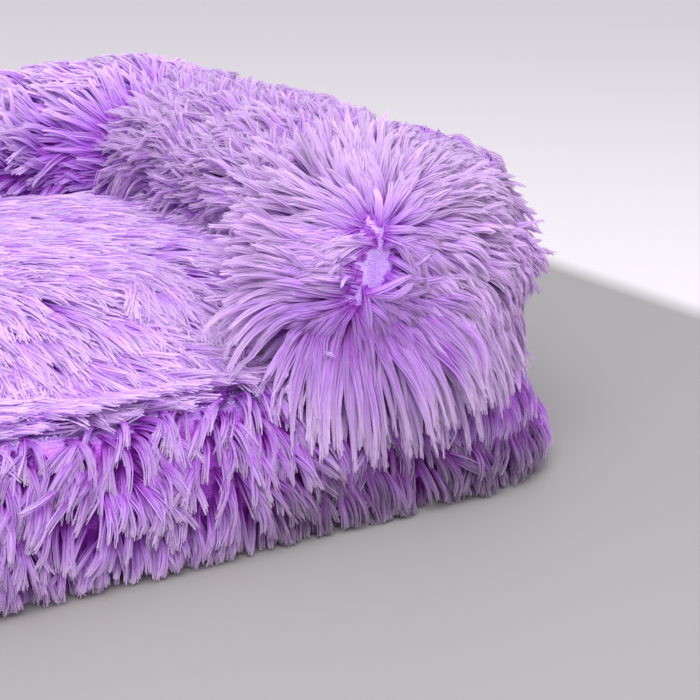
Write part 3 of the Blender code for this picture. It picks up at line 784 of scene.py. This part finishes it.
def buildStrands(name, guides, heights, normals, broader, rules, settings, draw):
    # flat ribbons round each guide, two points at each station
    look = strandLook
    stations, count = guides.shape[:2]
    many = settings["strands"]
    total = count * many
    tangents = unit(np.gradient(guides, axis=0))
    side = unit(np.cross(tangents, normals[None]))
    sideRow, liftRow = side[:, :, None], np.cross(side, tangents)[:, :, None]
    share = np.linspace(0, 1, stations)[:, None, None, None]
    angle = draw.uniform(0, 2 * math.pi, (1, count, many, 1))
    reach = np.sqrt(draw.uniform(look["leastReach"], 1, (1, count, many, 1))) * settings["spread"]
    narrowing = settings["rootSpread"] + (settings["tipSpread"] - settings["rootSpread"]) * share
    wiggle = np.sin(share * draw.uniform(*look["wiggles"], (1, count, many, 1)) + angle)
    wiggle = wiggle * settings["wiggle"] * share
    rise = np.sin(angle) * reach * narrowing * look["flattened"]
    offset = sideRow * (np.cos(angle) * reach * narrowing + wiggle) + liftRow * rise
    # a shorter strand stops sooner along the same guide
    reachShare = draw.uniform(settings["shortest"], 1.0, (1, count, many, 1))
    spot = share[..., 0] * reachShare[..., 0] * (stations - 1)
    low = np.minimum(spot.astype(int), stations - 2)
    rest = spot - low
    rows = np.arange(count)[None, :, None]
    centre = guides[low, rows] * (1 - rest[..., None]) + guides[low + 1, rows] * rest[..., None] + offset
    # painted shade: strands deep in the pile keep more of the dark colour of the root, where shade falls among
    # the fibres
    height = heights[low, rows] * (1 - rest) + heights[low + 1, rows] * rest + rise[..., 0]
    height = height / (settings["most"] * rules["press"])[None, :, None]
    shallow = look["deepShadeShare"] + (1 - look["deepShadeShare"]) * rising(height, 0, look["deepShadeRun"])
    width = draw.uniform(*settings["width"], (1, count, many, 1)) * broader[None, :, None, None]
    shape = look["rootWidth"] + look["swell"] * np.minimum(share * look["swellRate"], 1)
    shape = shape - look["taper"] * np.maximum(share - look["taperStart"], 0) / look["taperRun"]
    roll = draw.normal(size=(1, count, many, 1)) * settings["roll"]
    half = (sideRow * np.cos(roll) + liftRow * np.sin(roll)) * width * shape / 2
    verts = np.stack([centre - half, centre + half], axis=3).transpose(1, 2, 0, 3, 4)
    verts[..., 2] = np.clip(verts[..., 2], look["floor"], look["ceiling"])
    verts = verts.reshape(total, stations * 2, 3)
    tone = draw.uniform(0, 1, (count, 1)) * look["clumpTone"]
    tone = tone + draw.uniform(0, look["strandTone"], (count, many))
    # painted shade: the pile's shade rule darkens the tone
    tone = (look["toneLow"] + look["toneRange"] * tone) * rules["shade"][:, None]
    tone = np.clip((tone - pileLook["toneFloor"]) / pileLook["toneSpan"], 0, mostTone).reshape(-1)
    # painted shade: a strand that hangs longer pales later, so that it stays darker along most of its length
    longer = np.maximum(rules["stretch"] - 1, 0)[None, :, None]
    paling = settings["paling"] * (1 + look["hangShade"] * longer)
    along = (share[..., 0] ** paling * shallow).transpose(1, 2, 0).reshape(total, stations)
    limit = mostFaces // ((stations - 1) * 2)
    pieces = []
    for number, start in enumerate(range(0, total, limit)):
        chosen = slice(start, start + limit)
        label = f"{name}_{number + 1}" if total > limit else name
        pieces.append(strandMesh(label, verts[chosen], tone[chosen], along[chosen], stations))
    return pieces


def strandMesh(name, verts, tone, along, stations):
    # the OFBake map holds what the shader reads, tone across and the place along the strand, both with painted
    # shade in them
    total = len(verts)
    quads = np.arange(stations - 1)[:, None] * 2 + np.array([[0, 1, 3, 2]])
    faces = (quads[None] + (np.arange(total) * stations * 2)[:, None, None]).reshape(-1)
    mesh = bpy.data.meshes.new(name)
    mesh.vertices.add(total * stations * 2)
    mesh.vertices.foreach_set("co", verts.astype(np.float32).reshape(-1))
    mesh.loops.add(len(faces))
    mesh.loops.foreach_set("vertex_index", faces.astype(np.int32))
    mesh.polygons.add(len(faces) // 4)
    mesh.polygons.foreach_set("loop_start", np.arange(0, len(faces), 4, dtype=np.int32))
    mesh.update(calc_edges=True)
    mesh.shade_smooth()
    alongRow = np.repeat(along.reshape(-1), 2)
    acrossRow = np.tile(np.array([0.0, 1.0]), total * stations)
    cellRow = np.repeat(np.floor(tone * toneCells), stations * 2)
    for label, values in (("furAlongAndShade", alongRow), ("furToneAndShade", cellRow / (toneCells - 1))):
        attribute = mesh.attributes.new(label, "FLOAT", "POINT")
        attribute.data.foreach_set("value", values.astype(np.float32))
    spread = np.stack([
        (cellRow + cellMargin + (1 - 2 * cellMargin) * acrossRow) / toneCells,
        alongMargin + (1 - 2 * alongMargin) * alongRow,
    ], axis=1)
    mesh.uv_layers.new(name="OFBake").data.foreach_set("uv", spread[faces].astype(np.float32).reshape(-1))
    mesh.materials.append(pileMaterial)
    piece = bpy.data.objects.new(name, mesh)
    bpy.context.scene.collection.objects.link(piece)
    return piece


def growPile(name, coverName, flow, settings, keep=None, part="shown", **ruleMakers):
    # part "edge" is what lies close to another cover, as the strip of the border round the bolster does
    draw = np.random.default_rng(settings["seed"])
    cover = covers[coverName]
    outer, roots, normals = scatter(cover, part, settings["spacing"], draw)
    reach = edgeReach if part == "edge" else hiddenReach
    clear = np.array([
        cover["others"].ray_cast(Vector(place), Vector(normal), reach)[0] is None
        for place, normal in zip(outer + normals * 2 * rayStart, normals)
    ])
    if keep is not None:
        clear &= keep(outer, draw)
    dense = nearShare(outer)
    clear &= draw.random(len(outer)) < dense
    outer, roots, normals, dense = outer[clear], roots[clear], normals[clear], dense[clear]
    # shade is painted shade, a factor on the tone of the strands
    rules = {label: np.ones(len(outer)) for label in ("press", "stretch", "droop", "shade")}
    for label, maker in ruleMakers.items():
        rules[label] = maker(outer) if callable(maker) else rules[label] * maker
    guides, heights = growGuides(roots, normals, flow(outer, normals), coverName, rules, settings, draw)
    pieces = buildStrands(name, guides, heights, normals, dense**-0.6, rules, settings, draw)
    for piece in pieces:
        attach(piece, "bed")
        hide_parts(coverName)
    faces = sum(len(piece.data.polygons) for piece in pieces)
    print(f"stage: {name}, {len(guides[0])} clumps, {faces * 2} triangles, {len(pieces)} pieces")


# pile of the arms' ends, with a bare spot and short twisted locks beside the parting
capPile = {
    "seed": 11, "spacing": 0.0044, "strands": 24, "steps": 6, "length": (0.034, 0.056),
    "lift": 25, "liftJitter": 7, "rippleSize": 0.07, "rippleTurn": 10, "rippleLift": 4, "jitter": 8,
    # painted light: the pile of the arm's end pales early along the strand, which makes it paler than the
    # arms' pile
    "tuftSize": 0.014, "tuftTurn": 12, "tuftLift": 8, "paling": 0.45,
    "wave": 0.08, "curl": 0.03, "sag": 0.12, "most": 0.0200, "press": 0.45, "leastOwn": 0.002,
    "leastOther": 0.013, "floor": 0.004, "spread": 0.0024, "rootSpread": 1.1, "tipSpread": 0.65,
    "wiggle": 0.0009, "shortest": 0.80, "width": (0.0005, 0.0007), "roll": 0.55,
}
tuftPile = dict(
    capPile, seed=81, spacing=0.0055, strands=14, steps=7, length=(0.014, 0.024), lift=40, liftJitter=10,
    jitter=22, wave=0.35, curl=0.2, most=0.014, spread=0.0015, rootSpread=1.0, tipSpread=0.5, wiggle=0.0008,
    paling=0.5, width=(0.0006, 0.0008),
)
farCapPile = dict(capPile, seed=51, spacing=0.0050, strands=14, width=(0.0008, 0.0012))
capRules = {
    "barePlace": (0.177, -0.295, 0.158), "bareHalf": (0.005, 0.03, 0.012),
    "tuftPlace": (0.160, -0.295, 0.160), "tuftHalf": (0.006, 0.04, 0.015),
    "shoulderSide": (0.23, 0.05), "shoulderLow": (0.16, 0.03), "shoulder": 0.7,
    "topStart": (0.195, 0.03), "top": 0.9,
    "pressLeast": 0.25, "pressRise": 0.75, "pressReach": 0.055, "pressShoulder": 0.75,
    "droop": 5.0, "footLonger": 0.60, "shoulderShorter": 0.22,
    "innerStart": (0.22, 0.07), "innerShare": 0.9,
    # painted shade low in the fringe and near the top of the arm's end
    "footShade": 0.16, "topShade": 0.10, "topShadeStart": (0.175, 0.03),
}


def spotReach(places, side, spot):
    away = (places - mirrored(capRules[spot + "Place"], side)) / np.array(capRules[spot + "Half"])
    return np.linalg.norm(away, axis=1)


def capShoulder(places, side):
    outer = rising(places[:, 0] * side, *capRules["shoulderSide"])
    outer = outer * rising(places[:, 2], *capRules["shoulderLow"])
    top = rising(places[:, 2], *capRules["topStart"])
    return np.maximum(capRules["shoulder"] * outer, capRules["top"] * top)


def capPress(places, side):
    away = rising(partingOffset(places, side)[2], 0, capRules["pressReach"])
    press = capRules["pressLeast"] + capRules["pressRise"] * away
    return press * (1 - capRules["pressShoulder"] * capShoulder(places, side))


def capStretch(places, side):
    # longer low on the arm's end, where the pile hangs over the border
    inner = 1 - capRules["innerShare"] * rising(places[:, 0] * side, *capRules["innerStart"])
    longer = capRules["footLonger"] * capFoot(places) * inner
    return 1 + longer - capRules["shoulderShorter"] * capShoulder(places, side)


def capPaintedShade(places):
    # painted shade: darker low in the fringe and near the top
    top = rising(places[:, 2], *capRules["topShadeStart"])
    return 1 - capRules["footShade"] * capFoot(places) - capRules["topShade"] * top


def growCap(word, side, pile, tufts):
    nodeName = f"{word}_arm_end_cap"
    growPile(
        f"{word}CapPile", nodeName, capFlow(side), pile,
        keep=lambda places, draw: spotReach(places, side, "bare") > 1,
        press=lambda places: capPress(places, side), stretch=lambda places: capStretch(places, side),
        droop=lambda places: 1 + capRules["droop"] * capFoot(places), shade=capPaintedShade,
    )
    growPile(
        f"{word}CapTufts", nodeName, capFlow(side), tufts,
        keep=lambda places, draw: spotReach(places, side, "tuft") < 1,
    )


# pile of the arms and the back
armPile = {
    "seed": 21, "spacing": 0.0047, "strands": 11, "steps": 6, "length": (0.048, 0.060),
    "lift": 23, "liftJitter": 5, "rippleSize": 0.07, "rippleTurn": 14, "rippleLift": 5, "jitter": 5,
    "tuftSize": 0.026, "tuftTurn": 14, "tuftLift": 7, "paling": 0.9,
    "wave": 0.12, "curl": 0.06, "sag": 0.12, "most": 0.019, "press": 0.40, "leastOwn": 0.003,
    "leastOther": 0.004, "floor": 0.003, "spread": 0.0033, "rootSpread": 1.0, "tipSpread": 0.55,
    "wiggle": 0.0009, "shortest": 0.80, "width": (0.0006, 0.0009), "roll": 0.5,
}
backPile = dict(armPile, seed=31, spacing=0.0050, strands=9, width=(0.0009, 0.0013))
farArmPile = dict(armPile, seed=41, spacing=0.0050, strands=8, width=(0.0010, 0.0015))
armRules = {
    "creaseTop": (0.168, 0.02), "creaseShorter": 0.45,
    "rimLow": (0.195, 0.025), "rimBack": (-0.10, 0.08), "rimFlatter": 0.55,
    # the last value is painted shade, a little darker all over for the pile of the right arm
    "edgeTop": 0.150, "edgeFront": -0.235, "shade": 0.90,
}


def lowStretch(places):
    # the arms and the back leave the crease above the seat open
    low = falling(places[:, 2], *armRules["creaseTop"])
    return 1 - armRules["creaseShorter"] * low


def armPress(places):
    # lies down on top behind the arm's end, where the pile leans forward over the rim
    high = rising(places[:, 2], *armRules["rimLow"])
    return 1 - armRules["rimFlatter"] * high * falling(places[:, 1], *armRules["rimBack"])


def armEdgeKeep(places, draw):
    # only low along the seat and the border, clear of the arm's end
    return (places[:, 2] < armRules["edgeTop"]) & (places[:, 1] > armRules["edgeFront"])


# pile of the seat
seatPile = {
    "seed": 61, "spacing": 0.0046, "strands": 11, "steps": 5, "length": (0.046, 0.056),
    "lift": 12, "liftJitter": 4, "rippleSize": 0.09, "rippleTurn": 14, "rippleLift": 3, "jitter": 5,
    "tuftSize": 0.026, "tuftTurn": 13, "tuftLift": 4, "paling": 0.9,
    "wave": 0.16, "curl": 0.07, "sag": 0.10, "most": 0.0090, "press": 0.6, "leastOwn": 0.0035,
    "leastOther": 0.005, "floor": 0.003, "spread": 0.0036, "rootSpread": 0.9, "tipSpread": 0.7,
    "wiggle": 0.0009, "shortest": 0.80, "width": (0.0007, 0.0010), "roll": 0.7,
}
# the shade value is painted shade, slightly darker all over for the seat's pile
seatRules = {"seamFlatter": 0.7, "seamShorter": 0.35, "shade": 0.97}


def seatPress(places):
    return 1 - seatRules["seamFlatter"] * seamShare(places)


def seatStretch(places):
    return 1 - seatRules["seamShorter"] * seamShare(places)


# pile of the border, and of the strip on its top beside the bolster
borderPile = {
    "seed": 71, "spacing": 0.0062, "strands": 15, "steps": 6, "length": (0.038, 0.048),
    "lift": 36, "liftJitter": 8, "rippleSize": 0.05, "rippleTurn": 14, "rippleLift": 6, "jitter": 7,
    # painted shade: the border's pile pales late along the strand, which keeps it darker than the arms' pile
    "tuftSize": 0.022, "tuftTurn": 16, "tuftLift": 10, "paling": 2.0,
    "wave": 0.06, "curl": 0.06, "sag": 0.30, "most": 0.017, "press": 0.4, "leastOwn": 0.002,
    "leastOther": 0.004, "floor": 0.0012, "spread": 0.0026, "rootSpread": 0.7, "tipSpread": 0.85,
    "wiggle": 0.0007, "shortest": 0.86, "width": (0.0006, 0.0008), "roll": 0.9,
}
borderEdgePile = dict(borderPile, seed=72, strands=8, width=(0.0009, 0.0013), spread=0.0032)
borderRules = {
    "seamKeep": (0.75, 1.3), "edgeLow": 0.05, "cutBelow": 0.006, "cutHeight": 0.044, "cutLeast": 0.30,
    "nearLow": (0.038, 0.02), "nearSide": (0.10, 0.04), "nearFlatter": 0.68,
    "topLow": (0.068, 0.012), "topFlatter": 0.5,
    # painted shade: the border's pile a little darker all over, and darker under the fringe
    "shade": 0.88, "fringeShade": 0.42, "fringeInner": (0.06, 0.06),
    "fringeOuter": (0.34, 0.03), "fringeTop": (0.075, 0.02),
    "fringeFront": (-0.27, 0.02),
}


def borderKeep(places, draw):
    return seamShare(places) < draw.uniform(*borderRules["seamKeep"], len(places))


def borderEdgeKeep(places, draw):
    # only the strip on top, as the foot stands on the floor
    return places[:, 2] > borderRules["edgeLow"]


def borderStretch(places):
    # low on the border the pile is cut shorter, so that it ends at the floor
    height = (places[:, 2] + borderRules["cutBelow"]) / borderRules["cutHeight"]
    return height.clip(borderRules["cutLeast"], 1)


def borderPress(places):
    # the top of the border lies flat under the arm ends and the bolster
    near = rising(places[:, 2], *borderRules["nearLow"])
    near = near * rising(np.abs(places[:, 0]), *borderRules["nearSide"])
    top = rising(places[:, 2], *borderRules["topLow"])
    return (1 - borderRules["nearFlatter"] * near) * (1 - borderRules["topFlatter"] * top)


def borderPaintedShade(places):
    # painted shade: a little darker all over, and darker below the arm ends, under the fringe
    away = np.abs(places[:, 0])
    under = rising(away, *borderRules["fringeInner"])
    under = under * falling(away, *borderRules["fringeOuter"])
    low = falling(places[:, 2], *borderRules["fringeTop"])
    front = falling(places[:, 1], *borderRules["fringeFront"])
    return borderRules["shade"] * (1 - borderRules["fringeShade"] * under * low * front)


# the piles of the arms' ends, the right arm, the seat and the border get painted shade
growCap("right", 1, capPile, tuftPile)
growPile(
    "rightArmPile", "right_arm_cover", armFlow(1), armPile,
    press=armPress, stretch=lowStretch, shade=armRules["shade"],
)
growPile(
    "seatPile", "seat_cover", seatFlow, seatPile,
    press=seatPress, stretch=seatStretch, shade=seatRules["shade"],
)
growPile(
    "borderPile", "mat_border_cover", borderFlow, borderPile, borderKeep,
    press=borderPress, stretch=borderStretch, shade=borderPaintedShade,
)
growPile("backBolsterPile", "back_bolster_cover", bolsterFlow, backPile, stretch=lowStretch)
growPile("leftArmPile", "left_arm_cover", armFlow(-1), farArmPile, stretch=lowStretch)
growCap("left", -1, farCapPile, dict(tuftPile, seed=91))
growPile(
    "borderEdgePile", "mat_border_cover", borderFlow, borderEdgePile, borderEdgeKeep, "edge",
    press=borderPress,
)
growPile("seatEdgePile", "seat_cover", seatFlow, dict(seatPile, seed=62), part="edge")
growPile(
    "backEdgePile", "back_bolster_cover", bolsterFlow, dict(backPile, seed=32), part="edge",
    stretch=lowStretch,
)
growPile(
    "rightArmEdgePile", "right_arm_cover", armFlow(1), dict(armPile, seed=22), armEdgeKeep, "edge",
    stretch=lowStretch,
)
growPile(
    "leftArmEdgePile", "left_arm_cover", armFlow(-1), dict(farArmPile, seed=42), armEdgeKeep, "edge",
    stretch=lowStretch,
)

# stitches of the front seam, as short bowed threads that lean to one side and the other
stitchSettings = {
    "seed": 95, "pitch": 0.0042, "length": 0.0030, "radius": 0.00032, "slant": 32, "slantJitter": 6,
    "forward": 0.004, "rise": 0.0012, "bow": 0.0018, "rings": 5, "sides": 6,
}


def makeStitches():
    draw = np.random.default_rng(stitchSettings["seed"])
    rings, sides = stitchSettings["rings"], stitchSettings["sides"]
    points, faces = [], []
    border = covers["mat_border_cover"]
    tree = treeOf([(border["backing"], border["faces"])])
    count = int(2 * frontSeam["reach"] / stitchSettings["pitch"])
    for number in range(count):
        along = -frontSeam["reach"] + (number + 0.5) * stitchSettings["pitch"]
        place = np.array([along, frontSeam["place"] - stitchSettings["forward"], 0.0])
        hit = tree.ray_cast(Vector((place[0], place[1], 0.2)), Vector((0, 0, -1)))[0]
        if hit is None:
            continue
        place[2] = hit.z + stitchSettings["rise"]
        slant = stitchSettings["slant"] * (1 if number % 2 else -1)
        turn = math.radians(slant + draw.normal() * stitchSettings["slantJitter"])
        along = np.array([math.cos(turn), math.sin(turn), 0.0])
        sideways = np.array([-along[1], along[0], 0.0])
        start = len(points)
        for share in np.linspace(-0.5, 0.5, rings):
            bow = upward * (stitchSettings["bow"] * share**2 * 4)
            middle = place + along * stitchSettings["length"] * share - bow
            for step in range(sides):
                angle = 2 * math.pi * step / sides
                ring = sideways * math.cos(angle) + upward * math.sin(angle)
                points.append(middle + ring * stitchSettings["radius"])
        for row in range(rings - 1):
            for step in range(sides):
                first, second = start + row * sides + step, start + row * sides + (step + 1) % sides
                faces += [(first, second, second + sides), (first, second + sides, first + sides)]
    piece = addMesh("frontSeamStitches", np.array(points), np.array(faces), threadMaterial)
    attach(piece, "bed")
    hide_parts("mat_border_cover")


makeStitches()
print("stage: stitches")

# stage, lights and camera
stageSettings = {
    "colour": linear(140, 137, 135), "pale": linear(209, 203, 204), "roughness": 0.6,
    "paleRange": {"From Min": 0.66, "From Max": 0.70}, "reach": 8,
    "sky": linear(236, 236, 244), "skyRange": {"To Min": 0.12, "To Max": 1.70},
    "lightColour": linear(250, 250, 255), "lightTarget": (0.1, -0.1, 0.1),
}
lights = {
    "keyLight": {"place": (-0.75, -1.35, 2.05), "size": 2.0, "power": 72},
    "fillLight": {"place": (0.2, -2.4, 1.3), "size": 1.8, "power": 18},
}
cameraSettings = {"place": (-0.2755, -1.0234, 0.381), "heading": 31.0, "pitch": 17.6, "lens": 76.11}
scene = bpy.context.scene


def addRange(tree, value, limits):
    node = tree.nodes.new("ShaderNodeMapRange")
    for label, limit in limits.items():
        node.inputs[label].default_value = limit
    tree.links.new(value, node.inputs["Value"])
    return node.outputs[0]


def makeFloor():
    # a paler strip beyond the mat's right side, as in the photograph
    material, tree, shader = newMaterial("stage_floor", stageSettings["colour"], stageSettings["roughness"])
    pale = addRange(tree, axesOf(tree, objectPlace(tree))["X"], stageSettings["paleRange"])
    colour = mixColour(tree, "MIX", pale, stageSettings["colour"], stageSettings["pale"])
    tree.links.new(colour, shader.inputs["Base Color"])
    corners = np.array([[-1, -1, 0], [1, -1, 0], [1, 1, 0], [-1, 1, 0]], float) * stageSettings["reach"]
    return addMesh("floor", corners, np.array([[0, 1, 2, 3]]), material, False)


def makeSky():
    world = scene.world or bpy.data.worlds.new("World")
    scene.world = world
    world.use_nodes = True
    tree = world.node_tree
    sky = tree.nodes["Background"]
    sky.inputs["Color"].default_value = stageSettings["sky"]
    place = tree.nodes.new("ShaderNodeTexCoord").outputs["Generated"]
    tree.links.new(addRange(tree, axesOf(tree, place)["Z"], stageSettings["skyRange"]), sky.inputs["Strength"])


def addLight(name, settings):
    data = bpy.data.lights.new(name, "AREA")
    data.shape = "SQUARE"
    data.size = settings["size"]
    data.energy = settings["power"]
    data.color = stageSettings["lightColour"][:3]
    light = bpy.data.objects.new(name, data)
    scene.collection.objects.link(light)
    light.location = settings["place"]
    aim = Vector(stageSettings["lightTarget"]) - Vector(settings["place"])
    light.rotation_euler = aim.to_track_quat("-Z", "Y").to_euler()


def addCamera():
    data = bpy.data.cameras.new("camera")
    data.lens = cameraSettings["lens"]
    data.sensor_width = 36
    data.clip_start = 0.01
    camera = bpy.data.objects.new("camera", data)
    scene.collection.objects.link(camera)
    camera.location = cameraSettings["place"]
    pitch, heading = math.radians(90 - cameraSettings["pitch"]), -math.radians(cameraSettings["heading"])
    camera.rotation_euler = Euler((pitch, 0, heading), "XYZ")
    scene.camera = camera


floor = makeFloor()
makeSky()
for lightName, lightSettings in lights.items():
    addLight(lightName, lightSettings)
addCamera()
scene.view_settings.view_transform = "Standard"
print("stage: lights and camera")
